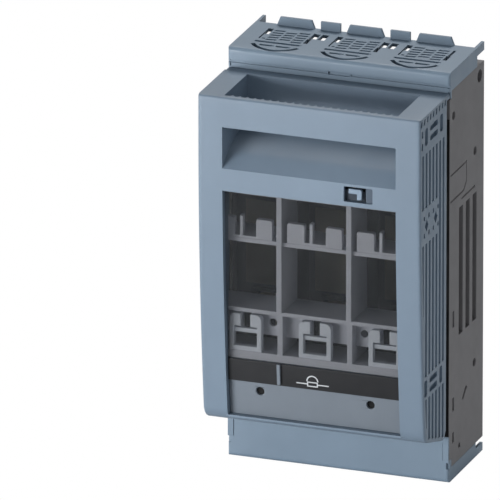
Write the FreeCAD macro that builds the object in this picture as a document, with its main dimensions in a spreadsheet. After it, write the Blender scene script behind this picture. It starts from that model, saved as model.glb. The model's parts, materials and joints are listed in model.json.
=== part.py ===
import FreeCAD, Part
import math
import os
import re
import Sketcher

# Fuse switch disconnector, three poles, plate mounted.
# Millimetres. X runs across the poles, Y is zero on the mounting face and negative towards the
# handle, Z runs up. The origin is the middle of the four mounting holes on the mounting face.
# Inside each sub-part heights are counted from the bottom of the device.

OUT = "parts"
Vec = FreeCAD.Vector
doc = FreeCAD.newDocument("fuse_switch_disconnector")

SIZES = [
    # housing tray
    ("device_height", 196.5), ("housing_width", 106.0), ("housing_depth", 46.4),
    ("side_wall", 2.6), ("back_wall", 3.0), ("partition_wall", 2.4), ("pole_pitch", 33.3),
    ("seat_height", 8.0), ("seat_width", 22.0),
    # fixing holes
    ("fixing_pitch_x", 33.3), ("fixing_pitch_z", 150.0), ("fixing_hole", 6.5),
    ("fixing_boss", 11.5), ("fixing_boss_depth", 14.0), ("fixing_head_room", 12.5),
    # side vents and holes
    ("vent_bottom", 67.0), ("vent_top", 128.0), ("vent_width", 5.2), ("vent_pitch", 9.2),
    ("vent_last", 12.2), ("side_hole", 4.0), ("side_slot", 2.2),
    # terminal covers
    ("cover_wall", 1.6), ("top_strip", 9.0), ("top_leg", 12.5), ("top_leg_width", 2.7),
    ("bottom_strip", 6.8), ("bottom_leg", 10.6), ("bottom_leg_width", 3.9),
    ("cover_rear", 9.4), ("cover_skirt", 21.5), ("ear_wall", 1.4), ("ear_height", 4.0), ("fit_gap", 0.2),
    ("front_round", 2.2), ("front_band", 5.8), ("band_half", 51.9), ("band_depth", 0.5),
    ("flap_half", 11.0), ("flap_slot", 1.2), ("flap_hinge", 34.0), ("hinge_groove", 0.8),
    ("flap_rear", 16.5), ("slot_front", 30.5), ("slot_step", 24.0), ("slot_wide", 2.7), ("slot_thin", 0.8),
    ("web_gap", 3.2), ("crescent_line", 38.9), ("crescent_radius", 13.2), ("crescent_inner", 12.8),
    ("crescent_inset", 0.9), ("crescent_rise", 0.7), ("crescent_depth", 3.5),
    ("dash_depth", 0.6), ("dash_line", 38.4), ("dash_width", 1.1), ("dash_length", 5.3),
    ("dash_near", -1.9), ("dash_far", 5.8),
    ("rib_row", 4.1), ("rib_column", 6.0), ("rib_lean", 1.48), ("rib_offset", 0.5), ("rib_long", 4.8),
    ("rib_slit", 1.2), ("rib_sink", 0.9),
    ("tab_rise", 3.9), ("tab_wall", 1.4), ("tab_half", 7.5), ("tab_foot", 9.7), ("web_tab_half", 4.7),
    # contact shroud
    ("shroud_recess", 4.0), ("shroud_wall", 2.5), ("shroud_bottom", 22.0), ("shroud_top", 172.4),
    ("slot_width", 15.0), ("slot_height", 17.0), ("collar", 1.8), ("collar_rise", 1.6),
    ("barrier_wall", 2.0), ("barrier_reach", 14.8), ("barrier_bottom", 62.0), ("barrier_top", 150.0),
    # contacts
    ("upper_jaw", 135.3), ("lower_jaw", 71.8), ("jaw_height", 13.0), ("jaw_half", 9.0),
    ("leaf_wall", 1.6), ("leaf_knee", 5.0), ("blade_gap", 5.6), ("jaw_pinch", 24.0), ("jaw_tip", 31.0),
    ("bar_width", 20.0), ("bar_wall", 2.5), ("terminal_reach", 36.5), ("bar_end", 10.0),
    ("bolt_radius", 4.0), ("bolt_head", 7.5), ("bolt_head_height", 5.3), ("bolt_shank", 6.0),
    ("bolt_clearance", 0.3), ("washer_radius", 8.5), ("washer_wall", 1.6),
    ("spring_level", 12.0), ("spring_width", 2.0), ("spring_wire", 1.4),
    # arc chutes
    ("chute_half", 13.8), ("chute_wall", 1.3), ("chute_bottom", 145.5), ("chute_height", 13.0),
    ("chute_rear", 15.0), ("plate_count", 5), ("plate_step", 4.2), ("plate_wall", 1.0),
    # carrier, the hinged handle unit
    ("carrier_half", 53.0), ("carrier_front", 85.9), ("carrier_rear", 49.9), ("carrier_top", 187.0),
    ("front_radius", 1250.0), ("front_straight", 165.0), ("arc_foot", 38.0), ("foot_height", 30.5),
    ("foot_depth", 78.65), ("foot_radius", 8.0), ("heel_height", 22.0), ("heel_radius", 4.0),
    ("carrier_wall", 2.2), ("edge_radius", 1.2), ("opening_half", 41.3), ("frame_depth", 8.0),
    ("lip_gap", 0.3), ("window_top", 142.4), ("window_bottom", 32.6), ("strip_top", 153.0),
    ("slope_depth", 78.5), ("slope_knee", 158.6), ("slope_radius", 15.0), ("slope_end", 168.0),
    ("recess_rear", 52.8), ("grip_bottom", 172.7), ("grip_wall", 2.9), ("grip_rib", 0.9),
    ("grip_rib_step", 3.6),
    ("groove_start", 2.8), ("groove_step", 4.55), ("groove_width", 2.3), ("groove_depth", 0.9),
    ("groove_top", 169.0), ("plate_high", 143.0), ("plate_low", 126.0), ("groove_low", 51.0),
    ("foot_groove_low", 34.0), ("foot_groove_high", 44.0), ("foot_groove_lean", 0.3),
    ("comb_low", 184.2), ("comb_width", 2.0), ("oval_low", 172.6), ("oval_high", 180.8), ("oval_width", 3.2),
    ("oval_front", 8.5), ("oval_rear", 26.4), ("oval_middle", 17.6), ("small_hole", 1.7),
    ("plate_middle_y", 14.8), ("plate_middle_z", 134.5), ("diamond_offset", 6.2), ("diamond_wide", 1.9),
    ("diamond_tall", 2.6), ("dot_offset_y", 3.1), ("dot_offset_z", 3.9),
    # hinge
    ("hinge_depth", 55.0), ("hinge_height", 28.0), ("hinge_radius", 2.5), ("hinge_play", 0.08),
    ("hinge_eye", 4.6), ("arm_inner", 45.5), ("arm_wall", 4.0), ("lug_inner", 42.0), ("lug_wall", 2.6),
    # window and the front parts below it
    ("pane_recess", 2.4), ("pane_wall", 1.5), ("pane_bottom", 60.2), ("pane_play", 0.15),
    ("panel_wall", 2.0), ("label_bottom", 49.5), ("label_wall", 0.8), ("label_play", 0.05), ("test_hole", 4.0),
    ("test_hole_x", 26.4), ("test_hole_z", 45.2),
    # fuse holder
    ("holder_half", 50.6), ("holder_front", 77.6), ("holder_rear", 58.0), ("holder_bottom", 60.3),
    ("holder_top", 141.0), ("holder_wall", 2.0), ("divider_wall", 2.5), ("divider_front", 79.2),
    ("band_top", 64.0), ("low_shelf", 84.5), ("high_shelf", 118.0), ("shelf_wall", 1.9),
    ("backing_depth", 72.4), ("backing_wall", 1.5), ("backing_bottom", 71.0), ("probe_hole", 3.6),
    ("probe_x", 21.8), ("probe_z", 77.2),
    # grippers
    ("gripper_half", 7.7), ("gripper_height", 17.6), ("gripper_arm", 2.2), ("gripper_slot", 4.6),
    ("gripper_head", 6.0), ("gripper_round", 2.6), ("gripper_wall", 3.0), ("gripper_bar", 2.0),
    ("clip_height", 9.6), ("clip_wall", 2.6), ("clip_foot", 1.2),
    # lock slider
    ("lock_left", 16.6), ("lock_right", 30.3), ("lock_bottom", 144.5), ("lock_top", 151.8),
    ("lever_left", 18.7), ("lever_right", 24.9), ("lever_arm", 2.2), ("lock_play", 0.15),
    ("slider_wall", 1.2), ("stop_left", 26.9),
]

# Values worked out from the driving ones.
DERIVED = {
    "mount_z": "device_height / 2",
    "half": "housing_width / 2",
    "housing_bottom": "bottom_strip",
    "housing_top": "device_height - top_strip",
    "shroud_front": "housing_depth - shroud_recess",
    "shroud_back": "shroud_front - shroud_wall",
    "inner_half": "half - side_wall - fit_gap",
    "seat": "seat_height",
    "bar_front": "seat_height + bar_wall",
    "strip_back": "carrier_front - carrier_wall",
    "side_inside": "carrier_half - carrier_wall",
    "frame_back": "carrier_front - frame_depth",
    "return_half": "opening_half + carrier_wall",
    "lip_back": "housing_depth + lip_gap",
    "arc_drop": "arc_sag(arc_foot)",
}


def swap_word(match):
    """One word of an expression, as a sheet cell or as the derived expression it stands for."""
    word = match.group(0)
    if word in DERIVED:
        return "(" + bind(DERIVED[word]) + ")"
    return "Dim." + word


def bind(text):
    """An expression in plain size names, rewritten so that each name points at the sheet."""
    text = re.sub(r"arc_sag\(([^()]*)\)", r"((front_straight - (\1)) ^ 2 / (2 * front_radius))", str(text))
    return re.sub(r"[a-z_][a-z0-9_]*(?![\w(])", swap_word, text)


def fill_sheet():
    """The driving sizes, one named cell each."""
    table = doc.addObject("Spreadsheet::Sheet", "Dim")
    for row, (alias, number) in enumerate(SIZES, start=1):
        table.set("A%d" % row, alias)
        table.set("B%d" % row, str(number))
        table.setAlias("B%d" % row, alias)
    doc.recompute()
    return table


sheet = fill_sheet()


def size(text):
    """The present value of an expression, in millimetres."""
    return float(sheet.evalExpression(bind(text).replace("Dim.", "")))


# Sketches whose points are held by expressions.

def plane_of(body, role):
    """One of the body's own origin planes."""
    return [item for item in body.Origin.OriginFeatures if item.Role == role][0]


class Drawing:
    """A sketch and what is still to be added to it. All goes in at once, which solves it once."""

    def __init__(self, item):
        self.item = item
        self.shapes, self.guides, self.rules, self.links = [], [], [], []

    def add(self, shape, guide=False):
        """Queue one element and give its number."""
        self.shapes.append(shape)
        if guide:
            self.guides.append(len(self.shapes) - 1)
        return len(self.shapes) - 1

    def rule(self, kind, *values):
        """Queue one constraint."""
        self.rules.append(Sketcher.Constraint(kind, *values))

    def drive(self, kind, text, *values):
        """Queue one measured constraint and the expression that drives it."""
        self.links.append((len(self.rules), text))
        self.rule(kind, *values)

    def hold(self, element, end, place):
        """Hold a point of an element at two expressions."""
        for kind, text, axis in zip(("DistanceX", "DistanceY"), place, (-2, -1)):
            number = size(text)
            if abs(number) < 1e-9:
                self.rule("PointOnObject", element, end, axis)
            else:
                self.drive(kind, text, -1, 1, element, end, number)

    def finish(self):
        """Write the queue into the sketch."""
        self.item.addGeometry(self.shapes, False)
        for number in self.guides:
            self.item.toggleConstruction(number)
        self.item.addConstraint(self.rules)
        for number, text in self.links:
            self.item.setExpression("Constraints[%d]" % number, bind(text))
        return self.item


def sketch(body, plane, level="0"):
    """A sketch on an origin plane of the body, moved along the plane's normal by level."""
    item = body.newObject("Sketcher::SketchObject", body.Name + "_sketch")
    item.AttachmentSupport = (plane_of(body, plane + "_Plane"), [""])
    item.MapMode = "FlatFace"
    if level != "0":
        item.setExpression("AttachmentOffset.Base.z", bind(level))
    return Drawing(item)


def rounded_corner(before, corner, after, radius):
    """Tangent points, centre and turn of an arc that rounds a corner."""
    back = (before - corner).normalize()
    ahead = (after - corner).normalize()
    half_angle = back.getAngle(ahead) / 2
    run = radius / math.tan(half_angle)
    centre = corner + (back + ahead).normalize() * (radius / math.sin(half_angle))
    left_turn = back.cross(ahead).z < 0
    return corner + back * run, corner + ahead * run, centre, left_turn


def arc_curve(centre, radius, first, last):
    """A counterclockwise arc of a circle between two points."""
    angles = [math.atan2(point.y - centre.y, point.x - centre.x) for point in (first, last)]
    if angles[1] < angles[0]:
        angles[1] += 2 * math.pi
    return Part.ArcOfCircle(Part.Circle(centre, Vec(0, 0, 1), radius), angles[0], angles[1])


def outline(drawing, points):
    """A closed loop. Each point is (x, y), (x, y, corner radius) or (x, y, 0, radius, side), where
    the last form starts an arc of that radius, bulging to the right of the way to the next point,
    or to the left where side is -1."""
    count = len(points)
    corners = [Vec(size(point[0]), size(point[1]), 0) for point in points]
    rounds = [point[2] if len(point) > 2 else 0 for point in points]
    bulges = [point[3] if len(point) > 3 else 0 for point in points]
    turns = [point[4] if len(point) > 4 else 1 for point in points]
    starts, ends, fillets = list(corners), list(corners), {}
    for index in range(count):
        if rounds[index]:
            before, after = corners[index - 1], corners[(index + 1) % count]
            made = rounded_corner(before, corners[index], after, size(rounds[index]))
            ends[index], starts[index] = made[0], made[1]
            fillets[index] = made
    sides, heads, tails = [], [], []
    for index in range(count):
        first, last = starts[index], ends[(index + 1) % count]
        heads.append(1 if turns[index] > 0 else 2)
        tails.append(2 if turns[index] > 0 else 1)
        if not bulges[index]:
            sides.append(drawing.add(Part.LineSegment(first, last)))
            continue
        radius = size(bulges[index])
        chord = (last - first) * turns[index]
        across = Vec(-chord.y, chord.x, 0).normalize()
        centre = (first + last) * 0.5 + across * math.sqrt(radius ** 2 - (chord.Length / 2) ** 2)
        ordered = (first, last) if turns[index] > 0 else (last, first)
        sides.append(drawing.add(arc_curve(centre, radius, *ordered)))
        drawing.drive("Radius", bulges[index], sides[index], radius)
    for index in range(count):
        before, after = sides[index - 1], sides[index]
        if index not in fillets:
            drawing.rule("Coincident", before, tails[index - 1], after, heads[index])
            drawing.hold(after, heads[index], points[index][:2])
            continue
        first, last, centre, left_turn = fillets[index]
        radius = size(rounds[index])
        ordered = (first, last) if left_turn else (last, first)
        arc = drawing.add(arc_curve(centre, radius, *ordered))
        near, far = (1, 2) if left_turn else (2, 1)
        corner = drawing.add(Part.Point(corners[index]), guide=True)
        drawing.hold(corner, 1, points[index][:2])
        drawing.rule("PointOnObject", corner, 1, before)
        drawing.rule("PointOnObject", corner, 1, after)
        drawing.rule("Tangent", before, 2, arc, near)
        drawing.rule("Tangent", after, 1, arc, far)
        drawing.drive("Radius", rounds[index], arc, radius)


def rectangle(drawing, left, right, low, high, radius=0):
    """A rectangle, with rounded corners where a radius is given."""
    outline(drawing, [(left, low, radius), (right, low, radius), (right, high, radius), (left, high, radius)])


def circle(drawing, across, up, radius):
    """A full circle."""
    centre = Vec(size(across), size(up), 0)
    ring = drawing.add(Part.Circle(centre, Vec(0, 0, 1), size(radius)))
    drawing.hold(ring, 3, (across, up))
    drawing.drive("Radius", radius, ring, size(radius))


# Solid features.

def feature(body, kind, drawing, length, both, reverse):
    """A pad or pocket of a finished drawing."""
    profile = drawing.finish()
    made = body.newObject("PartDesign::" + kind, body.Name + "_" + kind.lower())
    made.Profile = profile
    made.setExpression("Length", bind(length))
    made.Midplane = both
    made.Reversed = reverse
    profile.Visibility = False
    return made


def pad(body, drawing, length, both=False, reverse=False):
    """Material along the sketch's normal, by length."""
    return feature(body, "Pad", drawing, length, both, reverse)


def pocket(body, drawing, length, both=False, reverse=False):
    """A cut against the sketch's normal, by length."""
    return feature(body, "Pocket", drawing, length, both, reverse)


def round_edges(body, radius, wanted):
    """Round the edges of the present tip that a test picks."""
    doc.recompute()
    base = body.Tip
    names = ["Edge%d" % number for number, edge in enumerate(base.Shape.Edges, start=1) if wanted(edge)]
    made = body.newObject("PartDesign::Fillet", body.Name + "_fillet")
    made.Base = (base, names)
    made.setExpression("Radius", bind(radius))
    return made


def new_body(name, across="0", flip=False, level="0"):
    """A sub-part in the device's frame, moved along X and Z, and turned end for end if flipped."""
    body = doc.addObject("PartDesign::Body", name)
    body.Label = name
    if flip:
        body.Placement = FreeCAD.Placement(Vec(), FreeCAD.Rotation(Vec(0, 1, 0), 180))
    if across != "0":
        body.setExpression("Placement.Base.x", bind(across))
    body.setExpression("Placement.Base.z", bind("%s - mount_z" % level))
    return body


def corners_near(edge, test):
    """Whether every end and the middle of an edge pass a test."""
    middle = edge.valueAt((edge.FirstParameter + edge.LastParameter) / 2)
    return all(test(point) for point in [vertex.Point for vertex in edge.Vertexes] + [middle])


POLES = (-1, 0, 1)


def pole(index):
    """The middle of a pole, across the device."""
    return "%d * pole_pitch" % index


# Housing.

def make_housing():
    """The dark tray: back, sides and partitions in one section, vents and bosses added."""
    body = new_body("base_housing")
    section = sketch(body, "XY", "housing_bottom")
    points = [("-half", "0"), ("half", "0"), ("half", "-housing_depth"),
              ("half - side_wall", "-housing_depth"), ("half - side_wall", "-back_wall")]
    for rib in (0.5, -0.5):
        middle = "%s * pole_pitch" % rib
        points += [("%s + partition_wall / 2" % middle, "-back_wall"),
                   ("%s + partition_wall / 2" % middle, "-shroud_back + fit_gap"),
                   ("%s - partition_wall / 2" % middle, "-shroud_back + fit_gap"),
                   ("%s - partition_wall / 2" % middle, "-back_wall")]
    points += [("side_wall - half", "-back_wall"), ("side_wall - half", "-housing_depth"),
               ("-half", "-housing_depth")]
    outline(section, points)
    pad(body, section, "housing_top - housing_bottom")

    seats = sketch(body, "XZ")
    for index in POLES:
        left, right = pole(index) + " - seat_width / 2", pole(index) + " + seat_width / 2"
        rectangle(seats, left, right, "upper_jaw - jaw_height", "upper_jaw + terminal_reach + bar_end")
        rectangle(seats, left, right, "lower_jaw - terminal_reach - bar_end", "lower_jaw + jaw_height")
    pad(body, seats, "seat_height")

    bosses = sketch(body, "XZ")
    fixing_holes(bosses, "fixing_boss / 2")
    pad(body, bosses, "fixing_boss_depth")
    holes = sketch(body, "XZ", "fixing_boss_depth")
    fixing_holes(holes, "fixing_hole / 2")
    pocket(body, holes, "fixing_boss_depth")
    head_room = sketch(body, "XZ", "housing_depth")
    fixing_holes(head_room, "fixing_head_room / 2")
    pocket(body, head_room, "housing_depth - fixing_boss_depth")

    bolt_holes = sketch(body, "XZ", "seat_height")
    for index in POLES:
        for up in ("upper_jaw + terminal_reach", "lower_jaw - terminal_reach"):
            circle(bolt_holes, pole(index), up, "bolt_radius + bolt_clearance")
    pocket(body, bolt_holes, "seat_height - back_wall / 2")

    for side in (1, -1):
        cut_side(body, side)
    return body


def fixing_holes(drawing, radius):
    """Four circles on the fixing pattern."""
    for across in ("fixing_pitch_x / 2", "-fixing_pitch_x / 2"):
        for up in ("mount_z + fixing_pitch_z / 2", "mount_z - fixing_pitch_z / 2"):
            circle(drawing, across, up, radius)


def cut_side(body, side):
    """Vents, holes, slots and the corner notches in one side wall."""
    level = "half" if side > 0 else "-half"
    openings = sketch(body, "YZ", level)
    for row in range(3):
        middle = "-vent_last - %d * vent_pitch" % row
        rectangle(openings, middle + " - vent_width / 2", middle + " + vent_width / 2",
                  "vent_bottom", "vent_top")
    round_holes = [("5.4 - housing_depth", "housing_top - 12.9"), ("-11.9", "housing_top - 39.3"),
                   ("-11.9", "housing_bottom + 39.8")]
    for along, up in round_holes:
        circle(openings, along, up, "side_hole / 2")
    circle(openings, "-5.9", "housing_top - 5.5", "side_hole * 0.75")
    slots = [("vent_bottom + 6.2", "vent_bottom + 13.9"), ("housing_bottom + 26.2", "housing_bottom + 32.5"),
             ("housing_bottom + 11", "housing_bottom + 15.8")]
    for low, high in slots:
        rectangle(openings, "6 - side_slot / 2 - housing_depth", "6 + side_slot / 2 - housing_depth", low, high)
    outline(openings, [("-28.6", "housing_bottom + 27.6"), ("-26.6", "housing_bottom + 27.2"),
                       ("-21.6", "housing_bottom + 31.6"), ("-23.4", "housing_bottom + 32.8")])
    rectangle(openings, "-33", "-30.6", "housing_bottom + 5.6", "housing_bottom + 7.8")
    pocket(body, openings, "side_wall", reverse=side < 0)

    notches = sketch(body, "YZ", level)
    rectangle(notches, "-housing_depth - 1", "top_leg_width - housing_depth + fit_gap / 2",
              "device_height - top_leg - fit_gap / 2", "housing_top + 1")
    rectangle(notches, "-housing_depth - 1", "bottom_leg_width - housing_depth + fit_gap / 2",
              "housing_bottom - 1", "bottom_leg + fit_gap / 2")
    pocket(body, notches, "side_wall + 0.4", reverse=side < 0)

    line = 0.5
    marks = sketch(body, "YZ", level)
    outline(marks, [("-44.9", "147.6"), ("-23.0", "147.6"), ("-23.0", "137.6"), ("-27.0", "134.0"),
                    ("-44.9", "134.0"), ("-44.9", "%s" % (134.0 + 2 * line)), ("-27.4", "%s" % (134.0 + 2 * line)),
                    ("-24.0", "138.0"), ("-24.0", "146.6"), ("-44.9", "146.6")])
    rectangle(marks, "-30.0", "-12.0", "131.0", "132.0")
    pocket(body, marks, "%s" % line, reverse=side < 0)


# Terminal covers. Each is built with its outer face at zero and its inside upwards.

def make_cover(name, strip, leg, leg_width, top, level):
    """A cap with break-out flaps over the terminals, and a skirt behind the carrier."""
    body = new_body(name, flip=top, level=level)
    cap = sketch(body, "XY")
    points = [("-half", "-housing_depth", "edge_radius"), ("half", "-housing_depth", "edge_radius"),
              ("half", "0"), ("half - ear_wall", "0"), ("half - ear_wall", "-cover_rear"),
              ("ear_wall - half", "-cover_rear"), ("ear_wall - half", "0"), ("-half", "0")]
    outline(cap, points)
    pad(body, cap, strip)
    hollow = sketch(body, "XY", strip)
    rectangle(hollow, "cover_wall - half", "half - cover_wall", "cover_wall - housing_depth", "1 - cover_rear")
    pocket(body, hollow, "%s - cover_wall" % strip)
    ears = sketch(body, "XY", strip)
    rectangle(ears, "-half - 1", "half + 1", "-cover_rear", "1")
    pocket(body, ears, "%s - ear_height" % strip)
    front = sketch(body, "YZ")
    outline(front, [("-housing_depth - 1", "-1"), ("front_round - housing_depth", "-1"),
                    ("front_round - housing_depth", "0", 0, "front_round", -1),
                    ("-housing_depth", "front_round"), ("-housing_depth - 1", "front_round")])
    pocket(body, front, "housing_width + 2", both=True)

    legs = sketch(body, "XY", "cover_wall")
    for side in (1, -1):
        near, far = "%d * half" % side, "%d * (half - side_wall)" % side
        left, right = (far, near) if side > 0 else (near, far)
        rectangle(legs, left, right, "edge_radius - housing_depth", "%s - housing_depth" % leg_width)
    pad(body, legs, "%s - cover_wall" % leg)
    skirt = sketch(body, "XZ", "housing_depth - cover_wall")
    rectangle(skirt, "-half + edge_radius", "half - edge_radius", "front_round", leg)
    pad(body, skirt, "cover_wall")
    upper_skirt = sketch(body, "XZ", "housing_depth - cover_wall")
    rectangle(upper_skirt, "-inner_half", "inner_half", "front_round", "cover_skirt")
    pad(body, upper_skirt, "cover_wall")

    cut_flaps(body)
    cut_ribs(body)
    if top:
        add_tabs(body)
        band = sketch(body, "XZ", "housing_depth")
        rectangle(band, "-band_half", "band_half", "front_band", "cover_skirt + 1")
        pocket(body, band, "band_depth")
    return body


def cut_flaps(body):
    """The gaps that leave a break-out flap in front of each terminal."""
    gaps = sketch(body, "XY")
    for index in POLES:
        near, far = pole(index) + " - flap_half", pole(index) + " + flap_half"
        rectangle(gaps, near + " - flap_slot", near, "-slot_front", "-flap_rear")
        outline(gaps, [(far + " - slot_thin", "-slot_front"), (far, "-slot_front"), (far, "-flap_rear"),
                       (far + " - slot_wide", "-flap_rear"), (far + " - slot_wide", "-slot_step"),
                       (far + " - slot_thin", "-slot_step")])
    for across in ("-pole_pitch / 2", "pole_pitch / 2"):
        rectangle(gaps, across + " - web_gap / 2", across + " + web_gap / 2", "-slot_step", "-flap_rear")
    pocket(body, gaps, "cover_wall", reverse=True)
    crescents = sketch(body, "XY")
    for index in POLES:
        left, right = pole(index) + " - flap_half", pole(index) + " + flap_half"
        outline(crescents, [(left, "-crescent_line", 0, "crescent_radius"), (right, "-crescent_line"),
                            (right + " - crescent_inset", "crescent_rise - crescent_line", 0, "crescent_inner", -1),
                            (left + " + crescent_inset", "crescent_rise - crescent_line")])
    pocket(body, crescents, "crescent_depth", reverse=True)


def cut_ribs(body):
    """The hinge line, two dashes and leaning rows of short grooves on each flap."""
    marks = sketch(body, "XY")
    for index in POLES:
        rectangle(marks, pole(index) + " - flap_half", pole(index) + " + flap_half",
                  "-flap_hinge - hinge_groove / 2", "hinge_groove / 2 - flap_hinge")
        for start in ("dash_near - dash_length", "dash_far - dash_length"):
            left = "%s + %s" % (pole(index), start)
            rectangle(marks, left, left + " + dash_length", "-dash_line - dash_width / 2", "dash_width / 2 - dash_line")
    pocket(body, marks, "dash_depth", reverse=True)
    rows = ((1, (-1, 0, 1)), (2, (0, 1)), (3, (0, 1, 2)), (4, (0, 1, 2)))
    for index in POLES:
        grooves = sketch(body, "XY")
        for row, columns in rows:
            along = "%d * rib_row - flap_hinge" % row
            for column in columns:
                middle = "%s - (rib_offset + %d * rib_column - %d * rib_lean)" % (pole(index), column, row)
                rectangle(grooves, middle + " - rib_long / 2", middle + " + rib_long / 2",
                          along + " - rib_slit / 2", along + " + rib_slit / 2")
        pocket(body, grooves, "rib_sink", reverse=True)


def add_tabs(body):
    """The upright tabs along the rear edge."""
    tabs = sketch(body, "XZ", "cover_rear")
    for index in POLES:
        middle = pole(index)
        outline(tabs, [(middle + " - tab_half", "-tab_rise"), (middle + " + tab_half", "-tab_rise"),
                       (middle + " + tab_foot", "cover_wall"), (middle + " - tab_foot", "cover_wall")])
    for across in ("-pole_pitch / 2", "pole_pitch / 2"):
        rectangle(tabs, across + " - web_tab_half", across + " + web_tab_half", "-tab_rise", "cover_wall")
    pad(body, tabs, "tab_wall")


# Contact shroud with the hinge arms.

def make_shroud():
    """The plate over the contacts, with a collared slot for each blade and barriers between poles."""
    body = new_body("contact_shroud")
    plate = sketch(body, "XZ", "shroud_back")
    rectangle(plate, "-inner_half", "inner_half", "shroud_bottom", "shroud_top")
    pad(body, plate, "shroud_wall")
    collars = sketch(body, "XZ", "shroud_front - 0.5")
    slots = sketch(body, "XZ", "shroud_front + collar_rise")
    for index in POLES:
        for up in ("upper_jaw", "lower_jaw"):
            slot_box(collars, pole(index), up, "collar")
            slot_box(slots, pole(index), up, "0")
    pad(body, collars, "collar_rise + 0.5")
    pocket(body, slots, "shroud_wall + collar_rise")
    barriers = sketch(body, "XZ", "shroud_front - 0.5")
    for across in ("-pole_pitch / 2", "pole_pitch / 2"):
        rectangle(barriers, across + " - barrier_wall / 2", across + " + barrier_wall / 2",
                  "barrier_bottom", "barrier_top")
    pad(body, barriers, "barrier_reach + 0.5")
    for side in (1, -1):
        arm = sketch(body, "YZ", "arm_inner" if side > 0 else "-arm_inner")
        outline(arm, [("-shroud_front + 0.5", "hinge_height - hinge_eye"),
                      ("-shroud_front + 0.5", "hinge_height + hinge_eye + 3"),
                      ("-hinge_depth - hinge_eye", "hinge_height + hinge_eye", "hinge_eye * 0.9"),
                      ("-hinge_depth - hinge_eye", "hinge_height - hinge_eye", "hinge_eye * 0.9")])
        pad(body, arm, "arm_wall", reverse=side < 0)
        eye = sketch(body, "YZ", "%d * (arm_inner + arm_wall)" % side)
        circle(eye, "-hinge_depth", "hinge_height", "hinge_radius + hinge_play / 2")
        pocket(body, eye, "arm_wall", reverse=side < 0)
    notches = sketch(body, "XZ", "shroud_front")
    for across in ("fixing_pitch_x / 2", "-fixing_pitch_x / 2"):
        for up in ("mount_z + fixing_pitch_z / 2", "mount_z - fixing_pitch_z / 2"):
            circle(notches, across, up, "fixing_head_room / 2")
    pocket(body, notches, "shroud_wall")
    return body


def slot_box(drawing, across, up, margin):
    """A rounded rectangle about one contact."""
    rectangle(drawing, "%s - slot_width / 2 - %s" % (across, margin), "%s + slot_width / 2 + %s" % (across, margin),
              "%s - slot_height / 2 - %s" % (up, margin), "%s + slot_height / 2 + %s" % (up, margin), "1.2")


def make_hinge_pin(name, side):
    """A steel stub through the arm and the carrier's lug."""
    body = new_body(name)
    face = sketch(body, "YZ", "%d * lug_inner" % side)
    circle(face, "-hinge_depth", "hinge_height", "hinge_radius")
    pad(body, face, "arm_inner + arm_wall - lug_inner", reverse=side < 0)
    return body


# Contacts, springs and terminals.

def make_contact(name, index, up, flip):
    """A copper bar with its terminal end and a pair of blade leaves."""
    body = new_body(name, across=pole(index), flip=flip, level=up)
    jaw = sketch(body, "XY", "-jaw_height / 2")
    right = [("jaw_half", "-bar_front"), ("jaw_half", "-bar_front - leaf_knee", "2.5"),
             ("blade_gap / 2 + leaf_wall", "-bar_front - jaw_pinch", "3"),
             ("blade_gap / 2 + leaf_wall + 2.2", "-bar_front - jaw_tip"),
             ("blade_gap / 2 + 2.4", "-bar_front - jaw_tip - 0.4"),
             ("blade_gap / 2", "-bar_front - jaw_pinch", "1.5"),
             ("jaw_half - leaf_wall", "-bar_front - leaf_knee - 0.4", "1"),
             ("jaw_half - leaf_wall", "-bar_front - leaf_wall")]
    left = [("-(" + point[0] + ")",) + point[1:] for point in reversed(right)]
    outline(jaw, right + left)
    pad(body, jaw, "jaw_height")
    bar = sketch(body, "XZ", "seat_height")
    rectangle(bar, "-bar_width / 2", "bar_width / 2", "-jaw_height / 2 - 2", "terminal_reach + bar_end", "2")
    pad(body, bar, "bar_wall")
    hole = sketch(body, "XZ", "bar_front")
    circle(hole, "0", "terminal_reach", "bolt_radius + bolt_clearance")
    pocket(body, hole, "bar_wall")
    return body


def contact_spring(index, up):
    """A closed steel clip that presses one pair of leaves together."""
    spring = doc.addObject("Part::Feature", "spring")
    run = "(spring_level - spring_width - leaf_knee) / (jaw_pinch - leaf_knee)"
    lean = size("jaw_half - (jaw_half - blade_gap / 2 - leaf_wall) * " + run)
    half = lean + size("fit_gap")
    tall = size("jaw_height / 2 + fit_gap")
    wire = size("spring_wire")
    depth = size("bar_front + spring_level")
    across, level = size(pole(index)), size(up)
    shapes = []
    for grow in (wire, 0):
        low = Vec(across - half - grow, -depth, level - tall - grow)
        shapes.append(Part.makeBox(2 * (half + grow), size("spring_width"), 2 * (tall + grow), low))
    outer = shapes[0].makeFillet(wire * 0.9, [edge for edge in shapes[0].Edges if along_y(edge)])
    spring.Shape = outer.cut(shapes[1])
    spring.setExpression("Placement.Base.z", bind("-mount_z"))
    return spring


def along_y(edge):
    """Whether a straight edge runs front to back."""
    ends = [vertex.Point for vertex in edge.Vertexes]
    return abs(ends[0].y - ends[1].y) > 0.5 * edge.Length


def group(name, items):
    """Several like solids that share one name."""
    made = doc.addObject("Part::Compound", name)
    made.Label = name
    made.Links = items
    return made


def bolt(index, up):
    """A hexagon head bolt in a terminal hole, pointing at the mounting face."""
    head = doc.addObject("Part::Prism", "bolt_head")
    head.Polygon = 6
    head.setExpression("Circumradius", bind("bolt_head"))
    head.setExpression("Height", bind("bolt_head_height"))
    shank = doc.addObject("Part::Cylinder", "bolt_shank")
    shank.setExpression("Radius", bind("bolt_radius"))
    shank.setExpression("Height", bind("bolt_shank + bar_wall + washer_wall"))
    for item, depth in ((head, "bar_front + washer_wall + bolt_head_height"), (shank, "bar_front + washer_wall")):
        place_forward(item, index, up, depth)
    whole = doc.addObject("Part::Fuse", "bolt")
    whole.Base, whole.Tool = head, shank
    return whole


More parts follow.
